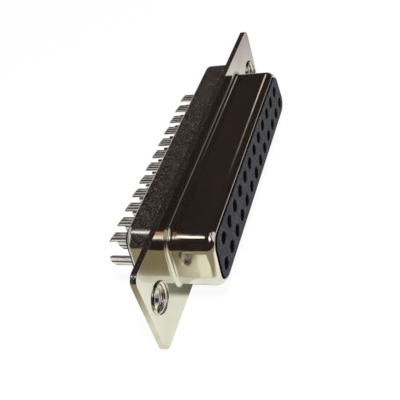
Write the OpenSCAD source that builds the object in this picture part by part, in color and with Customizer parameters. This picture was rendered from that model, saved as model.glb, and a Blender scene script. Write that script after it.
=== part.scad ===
// 25-way D-subminiature socket connector with solder cups.
// Two drawn steel shells are held together by two eyelets and trap two
// moulded insulators, which in turn trap 25 socket contacts.
// The origin is the middle of the flange's front face. The mating face
// looks along -Y, the long axis is X and the narrow row is uppermost.

/* [Contact grid] */
// Contacts in the wide row
wide_row_count = 13; // [5:1:19]
// Distance between contacts in a row
contact_pitch = 2.77; // [2.6:0.01:3.1]
// Distance between the two rows
row_spacing = 2.84; // [2.6:0.01:3.2]

/* [Flange] */
// Distance from the nose's end to the axis of the mounting hole
hole_offset = 4.37; // [4.2:0.01:5]
// Distance from the mounting hole's axis to the flange's end
ear_end = 3; // [2.8:0.05:4]
// Height of the flange above and below the rear shell
flange_rim = 0.875; // [0.7:0.025:2]
// Radius of the flange's corners
flange_corner_r = 1.2; // [0.4:0.1:3]
// Thickness of the sheet that both shells are drawn from
sheet_t = 0.38; // [0.25:0.01:0.5]

/* [Front shell] */
// Distance from the outer contacts' axes to the outside of the nose
nose_margin = 2.53; // [2.3:0.01:2.8]
// Outside corner radius of the nose
nose_corner_r = 2.4; // [2:0.1:2.8]
// Depth of the nose in front of the flange
nose_depth = 5.75; // [4.5:0.05:8]
// Radius at the root of the nose, on the flange's side
nose_root_r = 0.6; // [0.2:0.1:0.8]
// Outside radius of the nose's rolled front edge
nose_roll_r = 1.3; // [0.7:0.1:1.4]
// How far round the front edge is rolled
nose_roll_angle = 60; // [40:1:80]
// Lean of the short sides that gives the D outline
side_slope = 10; // [0:1:12]

/* [Rear shell] */
// How much further the rear shell's ends reach than the nose's
rear_step_x = 1.35; // [1.2:0.05:1.6]
// How much further the rear shell's long sides reach than the nose's
rear_step_y = 1.425; // [1.2:0.025:1.6]
// Outside corner radius of the rear shell
rear_corner_r = 2.7; // [2.4:0.1:3.2]
// Depth of the rear shell behind the flange's front face
rear_depth = 4.6; // [4:0.05:7]
// Radius at the root of the rear shell
rear_root_r = 0.35; // [0.1:0.05:0.4]
// Outside radius of the rear shell's turned-in edge
rear_roll_r = 0.7; // [0.6:0.05:0.9]
// Width of the turned-in lip, from the outside of the wall
rear_lip_w = 1.35; // [1:0.05:1.6]

/* [Insulators] */
// How far the front insulator stands out of the nose
face_proud = 0.15; // [0:0.05:0.4]
// How far the rear insulator stands out of the rear shell
rear_proud = 0.7; // [0.2:0.05:1.5]
// Thickness of the front insulator's base
base_t = 1.3; // [1:0.05:1.6]
// Gap between an insulator and the shell round it
insulator_gap = 0.05; // [0.02:0.01:0.1]
// Diameter of the lead-in at each contact hole
lead_in_d = 1.7; // [1.4:0.05:2]
// Depth of the lead-in
lead_in_depth = 0.4; // [0.2:0.05:0.6]
// Diameter of the hole behind the lead-in
entry_d = 1.2; // [1.1:0.05:1.35]
// Depth of the hole's floor, where the socket begins
socket_recess = 0.8; // [0.7:0.05:1.2]

/* [Contacts] */
// Diameter of the socket barrel
barrel_d = 1.7; // [1.5:0.05:1.9]
// Bore that takes the mating pin
socket_bore_d = 1.04; // [1.02:0.01:1.1]
// Depth of the socket bore
socket_bore_depth = 5.2; // [4:0.1:5.6]
// Width of the slot that lets the socket spring
slot_w = 0.22; // [0.1:0.02:0.4]
// Length of that slot
slot_length = 3.4; // [1:0.1:4]
// Diameter of the retaining collar
collar_d = 2.2; // [2:0.05:2.3]
// Thickness of the retaining collar
collar_t = 0.5; // [0.3:0.05:0.8]
// Outside diameter of the solder cup
cup_d = 1.26; // [1.1:0.02:1.4]
// Bore of the solder cup
cup_bore_d = 0.94; // [0.8:0.02:1]
// Reach of the solder cups behind the rear insulator
cup_length = 4.2; // [3:0.1:6]
// Height of the cup's open edges above its axis
cup_edge = 0.17; // [0:0.01:0.25]
// Length of the cup's sloping tip
cup_tip = 0.9; // [0.3:0.1:1.5]
// Distance from the rear insulator to where the cup's opening starts
cup_start = 0.3; // [0.1:0.05:0.8]
// Gap round each contact inside the insulators
contact_gap = 0.05; // [0.02:0.01:0.08]

/* [Eyelets] */
// Bore of the eyelets, which passes the mounting screw
eyelet_bore_d = 3.05; // [2.9:0.05:3.2]
// Wall of the eyelets
eyelet_wall = 0.25; // [0.2:0.01:0.3]
// Radius of the eyelets' curled rims
eyelet_curl_r = 0.25; // [0.2:0.01:0.35]
// Gap between an eyelet and its holes
eyelet_gap = 0.05; // [0.02:0.01:0.08]

/* [Hidden] */
$fn = 64;
cut = 1; // how far a cut runs past the face it opens
middle_lap = 1; // how far the two halves of a shell's wall overlap
flange_lap = 0.15; // how far a shell's root reaches into its flange plate
nose_seam = 0.000001; // how far the nose's last stretch reaches back

narrow_row_count = wide_row_count - 1;
contact_count = wide_row_count + narrow_row_count;

// Widths are measured over the rounded wide corners
nose_w = (wide_row_count - 1) * contact_pitch + 2 * nose_margin;
nose_h = row_spacing + 2 * nose_margin;
rear_w = nose_w + 2 * rear_step_x;
rear_h = nose_h + 2 * rear_step_y;
hole_spacing = nose_w + 2 * hole_offset;
flange_w = hole_spacing + 2 * ear_end;
flange_h = rear_h + 2 * flange_rim;

// Heights, with the mating face uppermost. The flange's front face is 0.
flange_back_z = -2 * sheet_t;
nose_straight_z = nose_depth - nose_roll_r * sin(nose_roll_angle);
face_z = nose_depth + face_proud;
parting_z = -sheet_t - base_t;
socket_floor_z = face_z - socket_recess;
collar_z = parting_z + collar_t;
rear_face_z = -rear_depth - rear_proud;
cup_tip_z = rear_face_z - cup_length;

// Distances from the corner centres to the walls and the insulators
nose_inside_r = nose_corner_r - sheet_t;
nose_mouth_r = nose_corner_r - nose_roll_r + (nose_roll_r - sheet_t) * cos(nose_roll_angle);
rear_inside_r = rear_corner_r - sheet_t;
rear_mouth_r = rear_corner_r - rear_lip_w;

eyelet_r = eyelet_bore_d / 2 + eyelet_wall;
eyelet_hole_r = eyelet_r + eyelet_gap;

// A D outline is four corner centres and a radius. The corners run
// anticlockwise from the wide right one, and each arc starts at the
// angle of the side that comes before it.
arc_start = [-90, side_slope, 90, 180 - side_slope];
arc_sweep = [90 + side_slope, 90 - side_slope, 90 - side_slope, 90 + side_slope];
nose_corners = d_corners(nose_w, nose_h, nose_corner_r);
rear_corners = d_corners(rear_w, rear_h, rear_corner_r);

function d_corners(w, h, r) =
    let (wide_x = w / 2 - r, y = h / 2 - r, narrow_x = wide_x - 2 * y * tan(side_slope))
    [[wide_x, -y], [narrow_x, y], [-narrow_x, y], [-wide_x, -y]];

function toward(angle) = [cos(angle), sin(angle)];

// Middle of contact i. The wide row comes first, from -X to +X.
function in_wide_row(i) = i <= wide_row_count;
function row_x(k, count) = (k - (count - 1) / 2) * contact_pitch;
function contact_place(i) = in_wide_row(i)
    ? [row_x(i - 1, wide_row_count), -row_spacing / 2]
    : [row_x(i - 1 - wide_row_count, narrow_row_count), row_spacing / 2];

function contact_name(i) = str("contact_", i < 10 ? "0" : "", i);

shell_colour = [0.80, 0.80, 0.76];
insulator_colour = [0.16, 0.16, 0.18];
contact_colour = [0.78, 0.77, 0.72];
eyelet_colour = [0.86, 0.85, 0.80];

// Lays a piece down so that its mating side looks along -Y
module facing_mate() {
    rotate([90, 0, 0]) children();
}

module d_shape(corners, r) {
    polygon([for (i = [0 : 3]) each [
        corners[i] + r * toward(arc_start[i]),
        corners[i] + r * toward(arc_start[i] + arc_sweep[i])
    ]]);
    for (corner = corners) translate(corner) circle(r = r);
}

// A prism with a D outline between two heights
module d_block(corners, r, bottom, top) {
    translate([0, 0, bottom]) linear_extrude(top - bottom) d_shape(corners, r);
}

// Carries a wall section round a D outline. The section's x is the
// distance from the corner centres and its y is the height. It goes half
// way round, from the middle of the wide side to the middle of the narrow
// one, each stretch starting where the last one ends, and is mirrored. The
// last stretch reaches back into its corner by seam, to close the joint.
module d_wall(corners, seam = 0) {
    wide_x = corners[0].x;
    narrow_x = corners[1].x;
    side_length = norm(corners[1] - corners[0]);
    module run(from, to) {
        translate([0, to, 0]) rotate([90, 0, 0]) linear_extrude(to - from) children();
    }
    for (side = [0, 1]) mirror([side, 0, 0])
        translate([0, corners[0].y, 0]) rotate(arc_start[0]) {
            run(-middle_lap, wide_x) children();
            translate([0, wide_x, 0]) {
                rotate_extrude(angle = arc_sweep[0]) children();
                rotate(arc_sweep[0]) {
                    run(0, side_length) children();
                    translate([0, side_length, 0]) {
                        rotate_extrude(angle = arc_sweep[1]) children();
                        rotate(arc_sweep[1]) translate([0, -seam, 0])
                            run(0, narrow_x + middle_lap) children();
                    }
                }
            }
        }
}

// A bend in a sheet, from one angle round to another
module bend(r_inside, r_outside, from, to) {
    reach = 2 * r_outside;
    middle = (from + to) / 2;
    intersection() {
        difference() {
            circle(r = r_outside);
            circle(r = r_inside);
        }
        polygon([[0, 0], reach * toward(from), reach * toward(middle), reach * toward(to)]);
    }
}

// The flange plate, with an opening just outside the drawn wall's root.
// The opening's corners have the root's own radius, so that its arcs and
// the wall's start at different places.
module flange_plate(bottom, wall_w, wall_h, wall_corner_r, root_r) {
    x = flange_w / 2 - flange_corner_r;
    y = flange_h / 2 - flange_corner_r;
    opening_r = wall_corner_r + root_r;
    grow = 2 * (root_r + flange_lap);
    translate([0, 0, bottom]) linear_extrude(sheet_t) difference() {
        union() {
            square([2 * x, flange_h], center = true);
            square([flange_w, 2 * y], center = true);
            for (sx = [-1, 1], sy = [-1, 1]) translate([sx * x, sy * y]) circle(r = flange_corner_r);
        }
        d_shape(d_corners(wall_w + grow, wall_h + grow, opening_r), opening_r);
        for (sx = [-1, 1]) translate([sx * hole_spacing / 2, 0]) circle(r = eyelet_hole_r);
    }
}

// Front sheet: flange, root radius, drawn wall and rolled front edge
module front_shell() {
    color(shell_colour) facing_mate() {
        flange_plate(-sheet_t, nose_w, nose_h, nose_corner_r, nose_root_r);
        d_wall(nose_corners, nose_seam) {
            translate([nose_corner_r + nose_root_r, nose_root_r])
                bend(nose_root_r, nose_root_r + sheet_t, 180, 270);
            translate([nose_corner_r + nose_root_r, -sheet_t]) square([2 * flange_lap, sheet_t]);
            translate([nose_inside_r, nose_root_r])
                square([sheet_t, nose_straight_z - nose_root_r]);
            translate([nose_corner_r - nose_roll_r, nose_straight_z])
                bend(nose_roll_r - sheet_t, nose_roll_r, 0, nose_roll_angle);
        }
    }
}

// Rear sheet: flange, root radius, wall and turned-in lip
module rear_shell() {
    root_z = flange_back_z - rear_root_r;
    lip_z = -rear_depth + rear_roll_r;
    color(shell_colour) facing_mate() {
        flange_plate(flange_back_z, rear_w, rear_h, rear_corner_r, rear_root_r);
        d_wall(rear_corners) {
            translate([rear_corner_r + rear_root_r, root_z])
                bend(rear_root_r, rear_root_r + sheet_t, 90, 180);
            translate([rear_corner_r + rear_root_r, flange_back_z]) square([2 * flange_lap, sheet_t]);
            translate([rear_inside_r, lip_z]) square([sheet_t, root_z - lip_z]);
            translate([rear_corner_r - rear_roll_r, lip_z])
                bend(rear_roll_r - sheet_t, rear_roll_r, 270, 360);
            translate([rear_mouth_r, -rear_depth])
                square([rear_lip_w - rear_roll_r, sheet_t]);
        }
    }
}

// Places children at every contact
module at_contacts() {
    for (i = [1 : contact_count]) translate(contact_place(i)) children();
}

// Front moulding: a face that fills the nose's mouth, a body inside the
// nose and a base behind the flange, with a stepped hole for each socket
module front_insulator() {
    color(insulator_colour) facing_mate() difference() {
        union() {
            d_block(nose_corners, nose_mouth_r - insulator_gap, nose_root_r, face_z);
            d_block(nose_corners, nose_inside_r - insulator_gap, parting_z, nose_straight_z);
            d_block(rear_corners, rear_inside_r - insulator_gap, parting_z, -sheet_t);
        }
        at_contacts() {
            translate([0, 0, parting_z - cut]) {
                cylinder(d = entry_d, h = face_z - parting_z + 2 * cut);
                cylinder(d = barrel_d + 2 * contact_gap, h = socket_floor_z - parting_z + cut);
                cylinder(d = collar_d + 2 * contact_gap, h = collar_t + cut);
            }
            translate([0, 0, face_z - lead_in_depth])
                cylinder(d1 = entry_d, d2 = lead_in_d, h = lead_in_depth);
        }
    }
}

// Rear moulding: it backs the collars, rests on the lip and stands out
// through the rear shell's mouth
module rear_insulator() {
    inside_z = -rear_depth + sheet_t;
    color(insulator_colour) facing_mate() difference() {
        union() {
            d_block(rear_corners, rear_inside_r - insulator_gap, -rear_depth + rear_roll_r, parting_z);
            d_block(rear_corners, rear_corner_r - rear_roll_r, inside_z, parting_z);
            d_block(rear_corners, rear_mouth_r - insulator_gap, rear_face_z, parting_z);
        }
        at_contacts() translate([0, 0, rear_face_z - cut])
            cylinder(d = cup_d + 2 * contact_gap, h = parting_z - rear_face_z + 2 * cut);
    }
}

// What the scoop takes off a solder cup: all above the open edges, with
// a round start, and the sloping tip. Its x runs up and its y along the cup.
module scoop_side() {
    r = cup_d / 2;
    round_z = rear_face_z - cup_start - r;
    translate([cup_edge, round_z]) intersection() {
        circle(r = r);
        square(r);
    }
    translate([cup_edge, cup_tip_z - cut]) square([r + cut, round_z - cup_tip_z + cut]);
    polygon([
        [-r, cup_tip_z], [cup_edge, cup_tip_z + cup_tip], [r + cut, cup_tip_z + cup_tip],
        [r + cut, cup_tip_z - cut], [-r, cup_tip_z - cut]
    ]);
}

// One contact: a slotted socket, a retaining collar and a scooped solder
// cup, which opens away from the other row
module contact(i) {
    barrel_z = socket_floor_z - contact_gap;
    open_side = in_wide_row(i) ? 180 : 0;
    color(contact_colour) facing_mate() translate(contact_place(i)) rotate(open_side) difference() {
        union() {
            translate([0, 0, parting_z]) cylinder(d = barrel_d, h = barrel_z - parting_z);
            translate([0, 0, parting_z]) cylinder(d = collar_d, h = collar_t);
            translate([0, 0, cup_tip_z]) cylinder(d = cup_d, h = collar_z - cup_tip_z);
        }
        translate([0, 0, barrel_z - socket_bore_depth])
            cylinder(d = socket_bore_d, h = socket_bore_depth + cut);
        translate([-barrel_d, -slot_w / 2, barrel_z - slot_length])
            cube([2 * barrel_d, slot_w, slot_length + cut]);
        translate([0, 0, cup_tip_z - cut]) cylinder(d = cup_bore_d, h = cup_length + cut);
        rotate([90, 0, 90]) translate([0, 0, -cup_d]) linear_extrude(2 * cup_d) scoop_side();
    }
}

// One eyelet: a barrel through both flanges with a curled rim on each side
module eyelet(side) {
    module rim() {
        intersection() {
            translate([eyelet_curl_r, 0]) circle(r = eyelet_curl_r);
            square(2 * eyelet_curl_r);
        }
    }
    color(eyelet_colour) facing_mate() translate([side * hole_spacing / 2, 0, 0])
        rotate_extrude() translate([eyelet_bore_d / 2, 0]) {
            rim();
            translate([0, flange_back_z]) square([eyelet_wall, -flange_back_z]);
            translate([0, flange_back_z]) mirror([0, 1]) rim();
        }
}

front_shell();
rear_shell();
front_insulator();
rear_insulator();
eyelet(-1);  // eyelet_left
eyelet(1);  // eyelet_right
for (i = [1 : contact_count]) contact(i);
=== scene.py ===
import math

import bmesh
import bpy
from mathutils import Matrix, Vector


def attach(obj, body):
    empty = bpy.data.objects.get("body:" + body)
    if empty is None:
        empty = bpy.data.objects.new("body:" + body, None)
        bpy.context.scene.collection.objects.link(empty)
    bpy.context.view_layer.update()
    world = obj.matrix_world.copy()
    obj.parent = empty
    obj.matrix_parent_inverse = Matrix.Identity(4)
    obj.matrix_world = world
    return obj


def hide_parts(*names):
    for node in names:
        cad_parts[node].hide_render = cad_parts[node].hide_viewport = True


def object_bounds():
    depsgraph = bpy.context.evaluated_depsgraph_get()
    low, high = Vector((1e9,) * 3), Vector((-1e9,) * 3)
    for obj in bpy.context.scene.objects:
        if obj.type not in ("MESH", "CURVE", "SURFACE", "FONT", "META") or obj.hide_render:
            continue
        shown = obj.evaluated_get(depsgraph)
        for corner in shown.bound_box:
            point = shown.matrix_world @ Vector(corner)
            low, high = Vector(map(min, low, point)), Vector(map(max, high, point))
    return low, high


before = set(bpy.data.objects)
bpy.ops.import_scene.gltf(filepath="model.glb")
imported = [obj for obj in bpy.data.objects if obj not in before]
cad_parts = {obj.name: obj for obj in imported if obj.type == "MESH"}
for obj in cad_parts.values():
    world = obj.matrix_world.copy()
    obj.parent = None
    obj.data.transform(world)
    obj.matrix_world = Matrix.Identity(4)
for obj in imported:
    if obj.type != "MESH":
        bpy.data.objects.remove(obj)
cad_low, cad_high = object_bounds()
scene = bpy.context.scene
mm = 0.001


# ---------------------------------------------------------------------------
# Studio: a pale floor under the flange's lower edge, a white surrounding, one
# broad lamp overhead, and a glowing tent, no lamp, which only the bright
# plate's reflections see: its dark cloth and bright windows paint the plate's
# dark reflections and highlights.
# ---------------------------------------------------------------------------
scene.view_settings.view_transform = "Standard"

camera_data = bpy.data.cameras.new("camera")
camera = bpy.data.objects.new("camera", camera_data)
scene.collection.objects.link(camera)
scene.camera = camera
camera.location = (-69.66 * mm, -33.58 * mm, 56.01 * mm)
camera.rotation_euler = (math.radians(51.11), math.radians(14.55), math.radians(-74.21))
camera_data.sensor_width = 36
camera_data.lens = 62.71
camera_data.shift_x = -0.0119
camera_data.shift_y = -0.0302
camera_data.clip_start = 1 * mm
camera_data.clip_end = 10


def material_nodes(name):
    """A new material with a plain Principled shader, its nodes and links."""
    material = bpy.data.materials.new(name)
    material.use_nodes = True
    nodes, links = material.node_tree.nodes, material.node_tree.links
    return material, nodes, links, nodes["Principled BSDF"]


def set_or_link(links, socket, value):
    """Gives a socket a number, a colour or another socket."""
    if isinstance(value, bpy.types.NodeSocket):
        links.new(value, socket)
    elif isinstance(value, tuple) and socket.type == "RGBA":
        socket.default_value = value + (1,)
    else:
        socket.default_value = value


def math_node(nodes, links, operation, *values):
    """A Math node, whose values are numbers or sockets."""
    node = nodes.new("ShaderNodeMath")
    node.operation = operation
    for socket, value in zip(node.inputs, values):
        set_or_link(links, socket, value)
    return node.outputs[0]


def seen_share(nodes, links, share, *rays):
    """The share where one of the named kinds of ray looks, and 0 elsewhere."""
    light_path = nodes.new("ShaderNodeLightPath").outputs
    seen = light_path[rays[0]]
    for ray in rays[1:]:
        seen = math_node(nodes, links, "MAXIMUM", seen, light_path[ray])
    return math_node(nodes, links, "MULTIPLY", seen, share)


bpy.ops.object.select_all(action="DESELECT")
bpy.ops.mesh.primitive_plane_add(size=4, location=(0, 0, 0))
floor = bpy.context.object
floor.name = "floor"
floor.location.z = cad_low[2] - 0.02 * mm
floor_white, nodes, links, shader = material_nodes("floor_white")
shader.inputs["Roughness"].default_value = 0.9
shader.inputs["Specular IOR Level"].default_value = 0.2


def object_place(nodes):
    """The place on the piece, in metres from the part's origin."""
    return nodes.new("ShaderNodeTexCoord").outputs["Object"]


def apart_xyz(nodes, links, vector):
    """A vector's X, Y and Z."""
    apart = nodes.new("ShaderNodeSeparateXYZ")
    links.new(vector, apart.inputs["Vector"])
    return apart.outputs


def ranged(nodes, links, value, start, end, to_start=0, to_end=1, eased=False):
    """A value carried from one range to another, and held at the ends."""
    carried = nodes.new("ShaderNodeMapRange")
    if eased:
        carried.interpolation_type = "SMOOTHSTEP"
    carried.inputs["From Min"].default_value = start
    carried.inputs["From Max"].default_value = end
    carried.inputs["To Min"].default_value = to_start
    carried.inputs["To Max"].default_value = to_end
    links.new(value, carried.inputs["Value"])
    return carried.outputs["Result"]


def away_from(nodes, links, vector, centre, start, end):
    """0 within start of a point and 1 beyond end, eased between them."""
    away = nodes.new("ShaderNodeVectorMath")
    away.operation = "DISTANCE"
    away.inputs[1].default_value = centre
    links.new(vector, away.inputs[0])
    return ranged(nodes, links, away.outputs["Value"], start, end, eased=True)


def mix_colour(nodes, links, factor, first, second):
    """A mix of two colours, each a colour or a socket."""
    mixed = nodes.new("ShaderNodeMix")
    mixed.data_type = "RGBA"
    links.new(factor, mixed.inputs["Factor"])
    set_or_link(links, mixed.inputs["A"], first)
    set_or_link(links, mixed.inputs["B"], second)
    return mixed.outputs["Result"]


spot = object_place(nodes)
along_floor = apart_xyz(nodes, links, spot)

# In reflections the floor shows painted light and shade: a painted pool of
# light, cream, with dimmer surroundings. Beyond the near end it is khaki with a
# pale spot, and a painted shadow lies as a dark strip behind the part.
painted_light_pool, dim_surround = (0.82, 0.84, 0.77), (0.44, 0.38, 0.39)
khaki_end, pale_spot = (0.27, 0.22, 0.13), (0.80, 0.78, 0.62)
painted_shadow_strip = (0.06, 0.055, 0.05)
off_light_pool = away_from(nodes, links, spot, (-10 * mm, 0, 0), 30 * mm, 62 * mm)
off_spot = away_from(nodes, links, spot, (-32 * mm, 0.5 * mm, 0), 3 * mm, 7 * mm)
off_shadow_strip = away_from(nodes, links, spot, (-6 * mm, 15 * mm, 0), 10 * mm, 16 * mm)
off_end = ranged(nodes, links, along_floor["X"], -30.5 * mm, -24 * mm, eased=True)
end_colour = mix_colour(nodes, links, off_spot, pale_spot, khaki_end)
painted_floor_reflection = mix_colour(nodes, links, off_light_pool, painted_light_pool, dim_surround)
painted_floor_reflection = mix_colour(nodes, links, off_end, end_colour, painted_floor_reflection)
painted_floor_reflection = mix_colour(nodes, links, off_shadow_strip, painted_shadow_strip, painted_floor_reflection)

# To the eye the floor is white, with a painted deep shadow close under the rear shell
white_floor, painted_deep_shadow, floor_glow = (0.88, 0.88, 0.87), (0.16, 0.16, 0.155), 0.92
beside_shell = []
for axis, centre, half in (("X", 0, 19 * mm), ("Y", 3.25 * mm, 2 * mm)):
    offset = math_node(nodes, links, "SUBTRACT", along_floor[axis], centre)
    distance = math_node(nodes, links, "ABSOLUTE", offset)
    beside_shell.append(ranged(nodes, links, distance, half, half + 1 * mm))
open_floor = math_node(nodes, links, "MAXIMUM", *beside_shell)
plain_floor = mix_colour(nodes, links, open_floor, painted_deep_shadow, white_floor)
# Camera and diffuse rays see the plain floor; reflections see the painted pool of light and the painted
# shadow strip
looked_at = seen_share(nodes, links, 1, "Is Camera Ray", "Is Diffuse Ray")
links.new(mix_colour(nodes, links, looked_at, painted_floor_reflection, plain_floor), shader.inputs["Base Color"])
glow_seen = seen_share(nodes, links, floor_glow, "Is Camera Ray")
floor_light = nodes.new("ShaderNodeEmission")
floor_mix = nodes.new("ShaderNodeMixShader")
links.new(math_node(nodes, links, "MULTIPLY", glow_seen, open_floor), floor_mix.inputs["Fac"])
links.new(shader.outputs["BSDF"], floor_mix.inputs[1])
links.new(floor_light.outputs["Emission"], floor_mix.inputs[2])
links.new(floor_mix.outputs["Shader"], nodes["Material Output"].inputs["Surface"])
floor.data.materials.append(floor_white)

world = bpy.data.worlds.new("studio")
world.use_nodes = True
scene.world = world
nodes, links = world.node_tree.nodes, world.node_tree.links
room = nodes["Background"]
room.inputs["Color"].default_value = (1, 1, 1, 1)
room.inputs["Strength"].default_value = 0.4
backdrop = nodes.new("ShaderNodeBackground")
backdrop.inputs["Color"].default_value = (1, 1, 1, 1)
backdrop.inputs["Strength"].default_value = 1
backdrop_seen = seen_share(nodes, links, 1, "Is Camera Ray", "Is Glossy Ray", "Is Transmission Ray")
world_mix = nodes.new("ShaderNodeMixShader")
links.new(backdrop_seen, world_mix.inputs["Fac"])
links.new(room.outputs["Background"], world_mix.inputs[1])
links.new(backdrop.outputs["Background"], world_mix.inputs[2])
links.new(world_mix.outputs["Shader"], nodes["World Output"].inputs["Surface"])

lamp_data = bpy.data.lights.new("overhead_lamp", "AREA")
lamp_data.size = 0.12
lamp_data.energy = 3.1
lamp = bpy.data.objects.new("overhead_lamp", lamp_data)
scene.collection.objects.link(lamp)
lamp.location = (-0.189, -0.170, 0.521)
lamp.rotation_euler = (math.radians(26), 0, math.radians(-48))
lamp.visible_glossy = False


def noise(nodes, links, vector, scale, detail, roughness=0.5):
    """A noise pattern on a vector. The scale is a number or a socket."""
    pattern = nodes.new("ShaderNodeTexNoise")
    pattern.inputs["Detail"].default_value = detail
    pattern.inputs["Roughness"].default_value = roughness
    links.new(vector, pattern.inputs["Vector"])
    set_or_link(links, pattern.inputs["Scale"], scale)
    return pattern.outputs["Fac"]


# The tent's glowing cloths, which paint reflections and highlights: a colour,
# and the panels that have it, each from one azimuth to another and from one
# elevation to another, in degrees
reflection_glow_cloths = [
    ("tent_dark_reflection", (0.024, 0.016, 0.015), [(0, 360, 0, 90)]),
    ("tent_window_highlight", (0.80, 0.78, 0.76), [(260, 300, 10, 45), (70, 130, 10, 42.5)]),
    ("tent_bar_highlight", (1.5, 1.45, 1.4), [(102.5, 137.5, 57.5, 65), (222.5, 250, 40, 62.5)]),
    ("tent_lamp_highlight", (1.1, 0.68, 0.52), [(250, 290, 55, 65)]),
    ("tent_strip_highlight", (1.0, 0.88, 0.84), [(-2.5, 7.5, 30, 37.5)]),
    (
        "tent_dusk_reflection", (0.22, 0.19, 0.17),
        [(-5, 10, 37.5, 42.5), (92.5, 107.5, 57.5, 67.5), (300, 330, 0, 7.5)],
    ),
]
# The glow is painted lighter and darker in patches, like the lit and shaded folds of a cloth
fold_shades = ((0.3, 0.55), (0.7, 1.45))
bpy.ops.object.select_all(action="DESELECT")
bpy.ops.mesh.primitive_uv_sphere_add(segments=144, ring_count=72, radius=0.5, location=(0, 0, 0))
tent = bpy.context.object
tent.name = "tent"
tent.visible_camera = False
tent.visible_diffuse = False
tent.visible_transmission = False
tent.visible_shadow = False
for name, colour, panels in reflection_glow_cloths:
    cloth, nodes, links, shader = material_nodes(name)
    folds = nodes.new("ShaderNodeValToRGB")
    links.new(noise(nodes, links, object_place(nodes), 14, 4), folds.inputs["Fac"])
    for stop, (along, shade) in zip(folds.color_ramp.elements, fold_shades):
        stop.position = along
        stop.color = tuple(shade * part for part in colour) + (1,)
    cloth_light = nodes.new("ShaderNodeEmission")
    links.new(folds.outputs["Color"], cloth_light.inputs["Color"])
    links.new(cloth_light.outputs["Emission"], nodes["Material Output"].inputs["Surface"])
    cloth.cycles.emission_sampling = "NONE"
    tent.data.materials.append(cloth)
    for face in tent.data.polygons:
        elevation = math.degrees(math.asin(face.center.z / face.center.length))
        azimuth = math.degrees(math.atan2(face.center.y, face.center.x))
        for az_from, az_to, el_from, el_to in panels:
            if (azimuth - az_from) % 360 < az_to - az_from and el_from < elevation < el_to:
                face.material_index = len(tent.data.materials) - 1


# ---------------------------------------------------------------------------
# Front shell: one drawn steel sheet, bright plated, with the flange's front
# face, a rounded root, the D-shaped nose and its rolled front edge.
# ---------------------------------------------------------------------------
sheet_t = 0.38 * mm
flange_corner_r = 1.2 * mm
hole_spacing = 47.04 * mm
eyelet_hole_r = 1.825 * mm
side_slope = math.radians(10)
nose_w, nose_h, nose_corner_r = 38.3 * mm, 7.9 * mm, 2.4 * mm
nose_root_r, nose_roll_r, nose_roll_angle = 0.6 * mm, 1.3 * mm, math.radians(60)
face_proud = 0.15 * mm
rim_round_r, edge_break_w = 0.12 * mm, 0.05 * mm
tiny, merge_gap, mouth_reach = 0.001 * mm, 0.0005 * mm, 0.01 * mm
dead_flat = 0.99999


def resize(x, z, centre):
    """Scales what is selected along X and Z about a centre."""
    bpy.ops.transform.resize(value=(x, 1, z), center_override=centre)


def select_parts(kind, chosen):
    """Selects, in edit mode, the vertices or edges that the test picks, and no others."""
    bpy.ops.mesh.select_mode(type=kind)
    bpy.ops.mesh.select_all(action="DESELECT")
    edit = bmesh.from_edit_mesh(bpy.context.object.data)
    for part in edit.verts if kind == "VERT" else edit.edges:
        part.select_set(chosen(part))
    bmesh.update_edit_mesh(bpy.context.object.data)


def d_face(w, h, r, y, facing):
    """A D-shaped face in edit mode. Its long side lies low, and it looks along facing times Y."""
    sine, cosine = math.sin(side_slope), math.cos(side_slope)
    low_x = w / 2 - r + r * (1 + sine) / cosine
    lean = h * math.tan(side_slope)
    bpy.ops.object.select_all(action="DESELECT")
    bpy.ops.mesh.primitive_plane_add(size=1, location=(0, 0, 0), rotation=(-facing * math.pi / 2, 0, 0))
    bpy.ops.object.transform_apply(rotation=True)
    bpy.ops.object.mode_set(mode="EDIT")
    resize(2 * low_x, h, (0, 0, 0))
    bpy.ops.transform.translate(value=(0, y, 0))
    # The high side is narrowed before the low corners are rounded, so that the ends keep their slope
    for end, corner_angle in ((1, math.pi / 2 + side_slope), (-1, math.pi / 2 - side_slope)):
        select_parts("VERT", lambda corner: end * corner.co.z > h / 2 - tiny)
        if end == 1:
            resize(1 - lean / low_x, 1, (0, 0, h / 2))
        bpy.ops.mesh.bevel(offset=r / math.tan(corner_angle / 2), segments=16, affect="VERTICES", profile=0.5)
    bpy.ops.mesh.select_mode(type="FACE")
    bpy.ops.mesh.select_all(action="SELECT")


def draw_along(steps, facing):
    """Draws the selected face along: each step is a shift inwards and one along facing times Y."""
    for inwards, along in steps:
        if inwards > tiny:
            bpy.ops.mesh.inset(thickness=inwards, depth=along, use_even_offset=True)
        else:
            bpy.ops.mesh.extrude_region_move(TRANSFORM_OT_translate={"value": (0, facing * along, 0)})


def arc_steps(radius, start, end, count):
    """The steps round a bend. An angle of 0 is straight along, and 90 is straight inwards."""
    angles = [start + (end - start) * i / count for i in range(count + 1)]
    return [
        (radius * (math.cos(a) - math.cos(b)), radius * (math.sin(b) - math.sin(a)))
        for a, b in zip(angles, angles[1:])
    ]


def root_steps(radius, count):
    """The steps round the root, out of the flange and into the wall."""
    return [(along, inwards) for inwards, along in arc_steps(radius, 0, math.pi / 2, count)]


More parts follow.
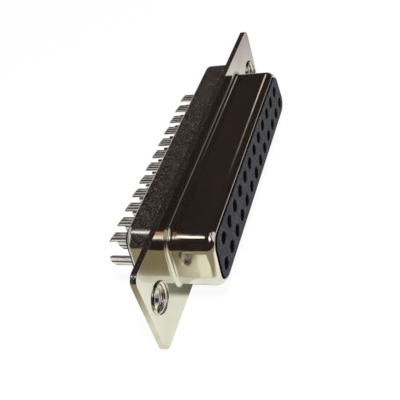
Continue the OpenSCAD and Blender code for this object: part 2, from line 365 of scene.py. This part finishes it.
def add_flange(y):
    """Adds the flange's outline and holes round the drawn part, and fills the plate between them."""
    bpy.ops.mesh.select_all(action="DESELECT")
    bpy.ops.mesh.primitive_plane_add(size=1, location=(0, y, 0), rotation=(math.pi / 2, 0, 0))
    resize(cad_high[0] - cad_low[0], cad_high[2] - cad_low[2], (0, y, 0))
    bpy.ops.mesh.select_mode(type="VERT")
    bpy.ops.mesh.bevel(offset=flange_corner_r, segments=10, affect="VERTICES", profile=0.5)
    bpy.ops.mesh.delete(type="ONLY_FACE")
    for side in (-1, 1):
        bpy.ops.mesh.primitive_circle_add(
            vertices=64,
            radius=eyelet_hole_r,
            location=(side * hole_spacing / 2, y, 0),
            rotation=(math.pi / 2, 0, 0),
        )
    select_parts(
        "EDGE", lambda edge: len(edge.link_faces) < 2 and all(abs(v.co.y - y) < tiny for v in edge.verts)
    )
    bpy.ops.mesh.fill()


def apply_modifiers(piece):
    """Applies a piece's modifiers, first to last."""
    bpy.ops.object.select_all(action="DESELECT")
    piece.select_set(True)
    bpy.context.view_layer.objects.active = piece
    for modifier in list(piece.modifiers):
        bpy.ops.object.modifier_apply(modifier=modifier.name)


def break_edges(piece, width, segments):
    """Breaks a piece's sharp edges."""
    broken = piece.modifiers.new("broken_edges", "BEVEL")
    broken.width = width
    broken.segments = segments
    broken.limit_method = "ANGLE"
    broken.angle_limit = math.radians(50)
    apply_modifiers(piece)


def finish_sheet(name, mouth_y=None):
    """Gives the sheet its thickness, rounds the lip at mouth_y and breaks the other edges."""
    bpy.ops.mesh.select_mode(type="FACE")
    bpy.ops.mesh.select_all(action="SELECT")
    bpy.ops.mesh.remove_doubles(threshold=merge_gap)
    bpy.ops.object.mode_set(mode="OBJECT")
    piece = bpy.context.object
    piece.name = name
    wall = piece.modifiers.new("sheet", "SOLIDIFY")
    wall.thickness = sheet_t
    wall.offset = -1
    wall.use_even_offset = True
    apply_modifiers(piece)
    if mouth_y is not None:
        bpy.ops.object.mode_set(mode="EDIT")
        select_parts("EDGE", lambda edge: all(abs(v.co.y - mouth_y) < mouth_reach for v in edge.verts))
        bpy.ops.mesh.bevel(offset=rim_round_r, segments=4, affect="EDGES")
        bpy.ops.object.mode_set(mode="OBJECT")
    break_edges(piece, edge_break_w, 3)
    # The flange's faces stay flat up to a sharp border, and the walls up to their bends
    bpy.ops.object.shade_smooth_by_angle(angle=math.radians(40))
    bpy.ops.object.mode_set(mode="EDIT")
    select_parts("EDGE", lambda edge: sum(abs(face.normal.y) > dead_flat for face in edge.link_faces) == 1)
    bpy.ops.mesh.mark_sharp()
    bpy.ops.object.mode_set(mode="OBJECT")
    flat = piece.modifiers.new("flat_faces", "WEIGHTED_NORMAL")
    flat.keep_sharp = True
    apply_modifiers(piece)
    return piece


nose_wall_end = -cad_low[1] - face_proud - nose_roll_r * math.sin(nose_roll_angle)
d_face(nose_w + 2 * nose_root_r, nose_h + 2 * nose_root_r, nose_corner_r + nose_root_r, 0, -1)
draw_along(
    root_steps(nose_root_r, 8)
    + [(0, nose_wall_end - nose_root_r)]
    + arc_steps(nose_roll_r, 0, nose_roll_angle, 10),
    -1,
)
bpy.ops.mesh.delete(type="FACE")
add_flange(0)
front_shell = finish_sheet("front_shell_sheet", cad_low[1] + face_proud)


def node_group(name, inputs, outputs):
    """A shader node group with named number inputs and named outputs."""
    group = bpy.data.node_groups.new(name, "ShaderNodeTree")
    for label, value in inputs.items():
        socket = group.interface.new_socket(name=label, in_out="INPUT", socket_type="NodeSocketFloat")
        socket.default_value = value
    for label in outputs:
        group.interface.new_socket(name=label, in_out="OUTPUT", socket_type="NodeSocketFloat")
    given = group.nodes.new("NodeGroupInput").outputs
    result = group.nodes.new("NodeGroupOutput").inputs
    return group, group.nodes, group.links, given, result


# Drawing lines along the sheet's draw, with waves, a fine grain and small pits
grain_group, nodes, links, given, result = node_group(
    "drawn_grain",
    {"Grain Per Metre": 6000, "Lines Per Metre": 2500, "Stretch": 0.08, "Waves Per Metre": 500},
    ("Grain", "Lines", "Waves", "Speckle"),
)
place = object_place(nodes)
links.new(noise(nodes, links, place, given["Grain Per Metre"], 3, 0.6), result["Grain"])
links.new(noise(nodes, links, place, given["Waves Per Metre"], 1, 0.4), result["Waves"])
pits = noise(nodes, links, place, given["Grain Per Metre"], 2, 0.8)
links.new(ranged(nodes, links, pits, 0.52, 0.68), result["Speckle"])
stretch = nodes.new("ShaderNodeCombineXYZ")
stretch.inputs["X"].default_value = 1
stretch.inputs["Z"].default_value = 1
links.new(given["Stretch"], stretch.inputs["Y"])
drawn = nodes.new("ShaderNodeVectorMath")
drawn.operation = "MULTIPLY"
links.new(place, drawn.inputs[0])
links.new(stretch.outputs["Vector"], drawn.inputs[1])
links.new(noise(nodes, links, drawn.outputs["Vector"], given["Lines Per Metre"], 4, 0.55), result["Lines"])

# Smudges and thin spots of the plate, at a few sizes
smudge_group, nodes, links, given, result = node_group(
    "plate_smudges", {"Smudges Per Metre": 180, "Sharpness": 3}, ("Smudge",)
)
broad = noise(nodes, links, object_place(nodes), given["Smudges Per Metre"], 5, 0.55)
centred = math_node(nodes, links, "SUBTRACT", broad, 0.5)
sharp = math_node(nodes, links, "MULTIPLY", centred, given["Sharpness"])
smudge = nodes.new("ShaderNodeClamp")
links.new(math_node(nodes, links, "ADD", sharp, 0.5), smudge.inputs["Value"])
links.new(smudge.outputs["Result"], result["Smudge"])

# Where handling has rubbed the convex edges
wear_group, nodes, links, given, result = node_group("edge_rub", {"Reach": 6}, ("Rubbed",))
shape = nodes.new("ShaderNodeNewGeometry")
convex = math_node(nodes, links, "SUBTRACT", shape.outputs["Pointiness"], 0.51)
strong = math_node(nodes, links, "MULTIPLY", convex, given["Reach"])
patchy = noise(nodes, links, object_place(nodes), 900, 3)
rubbed = nodes.new("ShaderNodeClamp")
links.new(math_node(nodes, links, "MULTIPLY", strong, patchy), rubbed.inputs["Value"])
links.new(rubbed.outputs["Result"], result["Rubbed"])


def place_group(nodes, group, **values):
    """A node group in a material, with its inputs set."""
    node = nodes.new("ShaderNodeGroup")
    node.node_tree = group
    for label, value in values.items():
        node.inputs[label.replace("_", " ")].default_value = value
    return node.outputs


def bump_from(nodes, links, shader, height, distance):
    """Bumps the shader's surface by a height pattern."""
    bump = nodes.new("ShaderNodeBump")
    bump.inputs["Strength"].default_value = 1
    bump.inputs["Distance"].default_value = distance
    links.new(height, bump.inputs["Height"])
    links.new(bump.outputs["Normal"], shader.inputs["Normal"])


bare_metal = (0.86, 0.85, 0.83)


def plated_metal(name, colours, roughness, haze, grain_height, waves, grain, smudges):
    """Bright plate: colours and roughness from clean to dull, haze from smooth to pitted, grain and waves."""
    material, nodes, links, shader = material_nodes(name)
    marks = place_group(nodes, grain_group, **grain)
    dull = place_group(nodes, smudge_group, **smudges)["Smudge"]
    rubbed = place_group(nodes, wear_group)["Rubbed"]
    plate = mix_colour(nodes, links, dull, *colours)
    links.new(mix_colour(nodes, links, rubbed, plate, bare_metal), shader.inputs["Base Color"])
    clear = ranged(nodes, links, marks["Speckle"], 0, 1, 1 - haze[0], 1 - haze[1])
    links.new(clear, shader.inputs["Metallic"])
    mixed = math_node(nodes, links, "MULTIPLY", math_node(nodes, links, "ADD", dull, marks["Lines"]), 0.5)
    links.new(ranged(nodes, links, mixed, 0.2, 0.8, *roughness), shader.inputs["Roughness"])
    half_grain = math_node(nodes, links, "MULTIPLY", marks["Grain"], 0.5)
    fine = math_node(nodes, links, "ADD", half_grain, marks["Lines"])
    broad = math_node(nodes, links, "MULTIPLY", marks["Waves"], waves)
    bump_from(nodes, links, shader, math_node(nodes, links, "ADD", fine, broad), grain_height)
    return material


front_shell.data.materials.append(plated_metal(
    "bright_front_plate",
    colours=((0.77, 0.765, 0.72), (0.69, 0.665, 0.58)),
    roughness=(0.06, 0.14),
    haze=(0, 0.012),
    grain_height=0.0012 * mm,
    waves=10,
    grain={"Grain_Per_Metre": 9000, "Lines_Per_Metre": 2500, "Stretch": 0.06},
    smudges={"Smudges_Per_Metre": 160, "Sharpness": 3},
))
# How near the flange's outline a face lies to be part of the cut edge
cut_reach = 0.04 * mm
edge_plate = plated_metal(
    "dull_edge_plate",
    colours=((0.77, 0.76, 0.72), (0.62, 0.60, 0.53)),
    roughness=(0.18, 0.34),
    haze=(0, 0.03),
    grain_height=0.0040 * mm,
    waves=1,
    grain={"Grain_Per_Metre": 7000, "Lines_Per_Metre": 6000, "Stretch": 0.3},
    smudges={"Smudges_Per_Metre": 500, "Sharpness": 3},
)


def sheared_edge(piece):
    """The cut edge round a flange takes the duller plate, as the shell's second material."""
    piece.data.materials.append(edge_plate)
    for face in piece.data.polygons:
        at_end = abs(face.center.x) > cad_high[0] - cut_reach
        at_side = abs(face.center.z) > cad_high[2] - cut_reach
        if (at_end or at_side) and abs(face.normal.y) < 0.5:
            face.material_index = 1


sheared_edge(front_shell)
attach(front_shell, "root")
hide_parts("front_shell")


# ---------------------------------------------------------------------------
# Rear shell: a second drawn steel sheet, back to back with the first. Its
# wall holds the rear moulding, and its end is turned in to a narrow lip.
# ---------------------------------------------------------------------------
rear_y = 2 * sheet_t
rear_w, rear_h, rear_corner_r = 41.0 * mm, 10.75 * mm, 2.7 * mm
rear_root_r, rear_roll_r, rear_lip_w = 0.35 * mm, 0.7 * mm, 1.35 * mm
rear_depth = 4.6 * mm

d_face(rear_w + 2 * rear_root_r, rear_h + 2 * rear_root_r, rear_corner_r + rear_root_r, rear_y, 1)
draw_along(
    root_steps(rear_root_r, 6)
    + [(0, rear_depth - rear_roll_r - rear_root_r - rear_y)]
    + arc_steps(rear_roll_r, 0, math.pi / 2, 10)
    + [(rear_lip_w - rear_roll_r, 0)],
    1,
)
bpy.ops.mesh.delete(type="FACE")
add_flange(rear_y)
rear_shell = finish_sheet("rear_shell_sheet")
rear_shell.data.materials.append(plated_metal(
    "bright_rear_plate",
    colours=((0.77, 0.76, 0.71), (0.69, 0.66, 0.58)),
    roughness=(0.09, 0.18),
    haze=(0, 0.18),
    grain_height=0.0035 * mm,
    waves=3,
    grain={"Grain_Per_Metre": 7000, "Lines_Per_Metre": 3500, "Stretch": 0.4},
    smudges={"Smudges_Per_Metre": 220, "Sharpness": 3},
))
sheared_edge(rear_shell)
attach(rear_shell, "root")
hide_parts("rear_shell")


# ---------------------------------------------------------------------------
# Eyelets: two nickel-plated brass tubes through both flanges, each with its
# ends curled over, which clamp the two sheets together.
# ---------------------------------------------------------------------------
eyelet_bore_r, eyelet_wall = 1.525 * mm, 0.25 * mm
curl_h, curl_half_w, curl_spread = 0.25 * mm, 0.11 * mm, 0.14 * mm
curl_crest_r = eyelet_bore_r + eyelet_wall + curl_spread


def turned(profile, vertices):
    """A turned shape in edit mode: rings of the given radius and place along Y, first to last."""
    (first_r, first_y), rest = profile[0], profile[1:]
    bpy.ops.object.select_all(action="DESELECT")
    bpy.ops.mesh.primitive_circle_add(
        vertices=vertices, radius=first_r, location=(0, first_y, 0), rotation=(math.pi / 2, 0, 0)
    )
    bpy.ops.object.transform_apply(location=True, rotation=True)
    bpy.ops.object.mode_set(mode="EDIT")
    bpy.ops.mesh.select_mode(type="EDGE")
    bpy.ops.mesh.select_all(action="SELECT")
    last_r, last_y = first_r, first_y
    for ring_r, ring_y in rest:
        bpy.ops.mesh.extrude_edges_move(TRANSFORM_OT_translate={"value": (0, ring_y - last_y, 0)})
        bpy.ops.transform.resize(value=(ring_r / last_r, 1, ring_r / last_r), center_override=(0, ring_y, 0))
        last_r, last_y = ring_r, ring_y


curl_angles = [math.radians(180 - 15 * step) for step in range(13)]
curl = [(curl_crest_r + curl_half_w * math.cos(angle), curl_h * math.sin(angle)) for angle in curl_angles]
mouth_r = curl[0][0]
# The bore flares out steeply to the curl at each end
funnel = [
    (eyelet_bore_r + (mouth_r - eyelet_bore_r) * (1 - depth) ** 4, depth * rear_y / 2)
    for depth in (0.1, 0.2, 0.35, 0.6, 1)
]
turned(
    [(r, -y) for r, y in curl]
    + [(eyelet_bore_r + eyelet_wall, 0), (eyelet_bore_r + eyelet_wall, rear_y)]
    + [(r, rear_y + y) for r, y in reversed(curl)]
    + [(r, rear_y - y) for r, y in funnel]
    + [(r, y) for r, y in reversed(funnel[:-1])]
    + [(mouth_r, 0)],
    72,
)
bpy.ops.mesh.select_all(action="SELECT")
bpy.ops.mesh.remove_doubles(threshold=merge_gap)
bpy.ops.mesh.normals_make_consistent(inside=False)
bpy.ops.object.mode_set(mode="OBJECT")
bpy.ops.object.shade_smooth_by_angle(angle=math.radians(40))
eyelet = bpy.context.object
eyelet.data.materials.append(plated_metal(
    "bright_nickel",
    colours=((0.82, 0.81, 0.76), (0.72, 0.69, 0.62)),
    roughness=(0.07, 0.16),
    haze=(0, 0.02),
    grain_height=0.0010 * mm,
    waves=4,
    grain={"Grain_Per_Metre": 8000, "Lines_Per_Metre": 5000, "Stretch": 0.2},
    smudges={"Smudges_Per_Metre": 500, "Sharpness": 3},
))


def copy_to(piece, name, x, z=0, turned_over=False):
    """A copy with its own mesh, turned over about Y if asked, with its place in the mesh."""
    bpy.ops.object.select_all(action="DESELECT")
    piece.select_set(True)
    bpy.context.view_layer.objects.active = piece
    bpy.ops.object.duplicate(linked=False)
    copied = bpy.context.object
    copied.name = name
    copied.rotation_euler = (0, math.pi if turned_over else 0, 0)
    copied.location = (x, 0, z)
    bpy.ops.object.transform_apply(location=True, rotation=True)
    return copied


for name, side in (("eyelet_left", -1), ("eyelet_right", 1)):
    placed = copy_to(eyelet, name + "_tube", side * hole_spacing / 2)
    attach(placed, "root")
    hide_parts(name)
bpy.data.objects.remove(eyelet)


# ---------------------------------------------------------------------------
# Insulators: two black glass-filled polyester mouldings. The front one fills
# the nose and guides the pins. The rear one holds the contacts' collars.
# ---------------------------------------------------------------------------
# Painted shade in the moulding's holes: a near black, and how far past the face it starts and is full
painted_hole_shade, hole_shade_from, hole_shade_to = (0.003, 0.003, 0.004), 0.03 * mm, 0.12 * mm


def moulded_plastic(name, colours, roughness, grain_height, face_y):
    """Glass-filled plastic: skin and fibre colours, roughness, grain, and where the painted shade in its
    holes starts along Y.
    """
    material, nodes, links, shader = material_nodes(name)
    marks = place_group(nodes, grain_group, Grain_Per_Metre=3200, Lines_Per_Metre=1500, Stretch=1)
    dull = place_group(nodes, smudge_group, Smudges_Per_Metre=700, Sharpness=4)["Smudge"]
    mottle = math_node(nodes, links, "MULTIPLY", dull, marks["Grain"])
    flecks = math_node(nodes, links, "MULTIPLY", marks["Speckle"], 0.6)
    skin = mix_colour(nodes, links, math_node(nodes, links, "ADD", mottle, flecks), *colours)
    along = apart_xyz(nodes, links, object_place(nodes))["Y"]
    # Painted shade: from just inside the face, the holes turn near black and matt
    inside = ranged(nodes, links, along, face_y + hole_shade_from, face_y + hole_shade_to)
    links.new(mix_colour(nodes, links, inside, skin, painted_hole_shade), shader.inputs["Base Color"])
    gloss = ranged(nodes, links, dull, 0, 1, *roughness)
    links.new(math_node(nodes, links, "MAXIMUM", gloss, inside), shader.inputs["Roughness"])
    shader.inputs["Specular IOR Level"].default_value = 0.08
    relief = math_node(nodes, links, "ADD", marks["Grain"], marks["Lines"])
    bump_from(nodes, links, shader, relief, grain_height)
    return material


black_face = moulded_plastic(
    "black_face",
    colours=((0.003, 0.003, 0.004), (0.100, 0.096, 0.125)),
    roughness=(0.42, 0.65),
    grain_height=0.020 * mm,
    face_y=cad_low[1],
)
# The contacts fill the rear moulding's holes, so its painted hole shade starts far past the part and nothing
# is darkened
past_the_part = 1
black_back = moulded_plastic(
    "black_back",
    colours=((0.012, 0.012, 0.014), (0.05, 0.05, 0.055)),
    roughness=(0.45, 0.6),
    grain_height=0.005 * mm,
    face_y=past_the_part,
)
for name, plastic in (("front_insulator", black_face), ("rear_insulator", black_back)):
    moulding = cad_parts[name]
    moulding.data.materials.clear()
    moulding.data.materials.append(plastic)


# ---------------------------------------------------------------------------
# Contacts: 25 turned brass sockets, tin plated. Each has a slotted barrel, a
# collar that the mouldings trap, and a solder cup scooped open on one side.
# ---------------------------------------------------------------------------
barrel_r, socket_bore_r, collar_r = 0.85 * mm, 0.52 * mm, 1.1 * mm
cup_r, cup_bore_r, cup_edge, cup_tip = 0.63 * mm, 0.47 * mm, 0.17 * mm, 0.9 * mm
mouth_y, bore_end_y, collar_y, collar_end_y = -5.05 * mm, 0.15 * mm, 1.18 * mm, 1.68 * mm
cup_bore_y, cup_open_y, cup_end_y = 5.3 * mm, 5.6 * mm, 9.5 * mm
slot_w, slot_end_y = 0.22 * mm, -1.65 * mm
contact_pitch, row_spacing, wide_row_count = 2.77 * mm, 2.84 * mm, 13
chamfer, drill_point_h, drill_point_share = 0.08 * mm, 0.2 * mm, 0.15
cut_past = 1 * mm

turned(
    [
        (socket_bore_r * drill_point_share, bore_end_y + drill_point_h), (socket_bore_r, bore_end_y),
        (socket_bore_r, mouth_y + chamfer), (socket_bore_r + chamfer, mouth_y),
        (barrel_r - chamfer, mouth_y), (barrel_r, mouth_y + chamfer), (barrel_r, collar_y),
        (collar_r - chamfer / 2, collar_y), (collar_r, collar_y + chamfer / 2),
        (collar_r, collar_end_y - chamfer / 2), (collar_r - chamfer / 2, collar_end_y),
        (cup_r, collar_end_y), (cup_r, cup_end_y), (cup_bore_r, cup_end_y),
        (cup_bore_r, cup_bore_y + drill_point_h), (cup_bore_r * drill_point_share, cup_bore_y),
    ],
    32,
)
bpy.ops.mesh.select_all(action="SELECT")
bpy.ops.mesh.fill_holes(sides=0)
bpy.ops.mesh.select_all(action="SELECT")
bpy.ops.mesh.normals_make_consistent(inside=False)
bpy.ops.object.mode_set(mode="OBJECT")
contact = bpy.context.object


def cut_away(piece, low, high, round_r=0):
    """Cuts a block out of a piece. The block's upper edge nearest the mating face may be rounded."""
    bpy.ops.object.select_all(action="DESELECT")
    middle = [(a + b) / 2 for a, b in zip(low, high)]
    bpy.ops.mesh.primitive_cube_add(size=1, location=middle)
    cutter = bpy.context.object
    cutter.scale = [b - a for a, b in zip(low, high)]
    bpy.ops.object.transform_apply(location=True, scale=True)
    if round_r:
        bpy.ops.object.mode_set(mode="EDIT")
        select_parts(
            "EDGE", lambda edge: all(v.co.y < middle[1] and v.co.z > middle[2] for v in edge.verts)
        )
        bpy.ops.mesh.bevel(offset=round_r, segments=10, affect="EDGES")
        bpy.ops.object.mode_set(mode="OBJECT")
    cut = piece.modifiers.new("cut", "BOOLEAN")
    cut.operation = "DIFFERENCE"
    cut.solver = "EXACT"
    cut.object = cutter
    apply_modifiers(piece)
    bpy.data.objects.remove(cutter)


cut_away(
    contact,
    (-2 * cut_past, mouth_y - cut_past, -slot_w / 2),
    (2 * cut_past, slot_end_y, slot_w / 2),
)
cut_away(
    contact,
    (-cut_past, cup_open_y, cup_edge),
    (cut_past, cup_end_y + cut_past, cup_edge + cup_r),
    round_r=cup_r * 0.99,
)
bpy.ops.object.mode_set(mode="EDIT")
bpy.ops.mesh.select_all(action="SELECT")
tip_length = math.hypot(cup_edge + cup_r, cup_tip)
bpy.ops.mesh.bisect(
    plane_co=(0, cup_end_y, -cup_r),
    plane_no=(0, (cup_edge + cup_r) / tip_length, cup_tip / tip_length),
    use_fill=True,
    clear_outer=True,
    threshold=0.0001 * mm,
)
bpy.ops.object.mode_set(mode="OBJECT")
break_edges(contact, 0.025 * mm, 2)
bpy.ops.object.shade_smooth_by_angle(angle=math.radians(35))
contact.data.materials.append(plated_metal(
    "bright_tin",
    colours=((0.88, 0.87, 0.84), (0.70, 0.68, 0.63)),
    roughness=(0.07, 0.18),
    haze=(0.02, 0.10),
    grain_height=0.0020 * mm,
    waves=2,
    grain={"Grain_Per_Metre": 9000, "Lines_Per_Metre": 2200, "Stretch": 3},
    smudges={"Smudges_Per_Metre": 900, "Sharpness": 3},
))
for number in range(1, 2 * wide_row_count):
    wide = number <= wide_row_count
    count = wide_row_count if wide else wide_row_count - 1
    step = number - 1 if wide else number - 1 - wide_row_count
    x = (step - (count - 1) / 2) * contact_pitch
    z = -row_spacing / 2 if wide else row_spacing / 2
    placed = copy_to(contact, f"contact_{number:02d}_turned", x, z, turned_over=wide)
    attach(placed, "root")
    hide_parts(f"contact_{number:02d}")
bpy.data.objects.remove(contact)
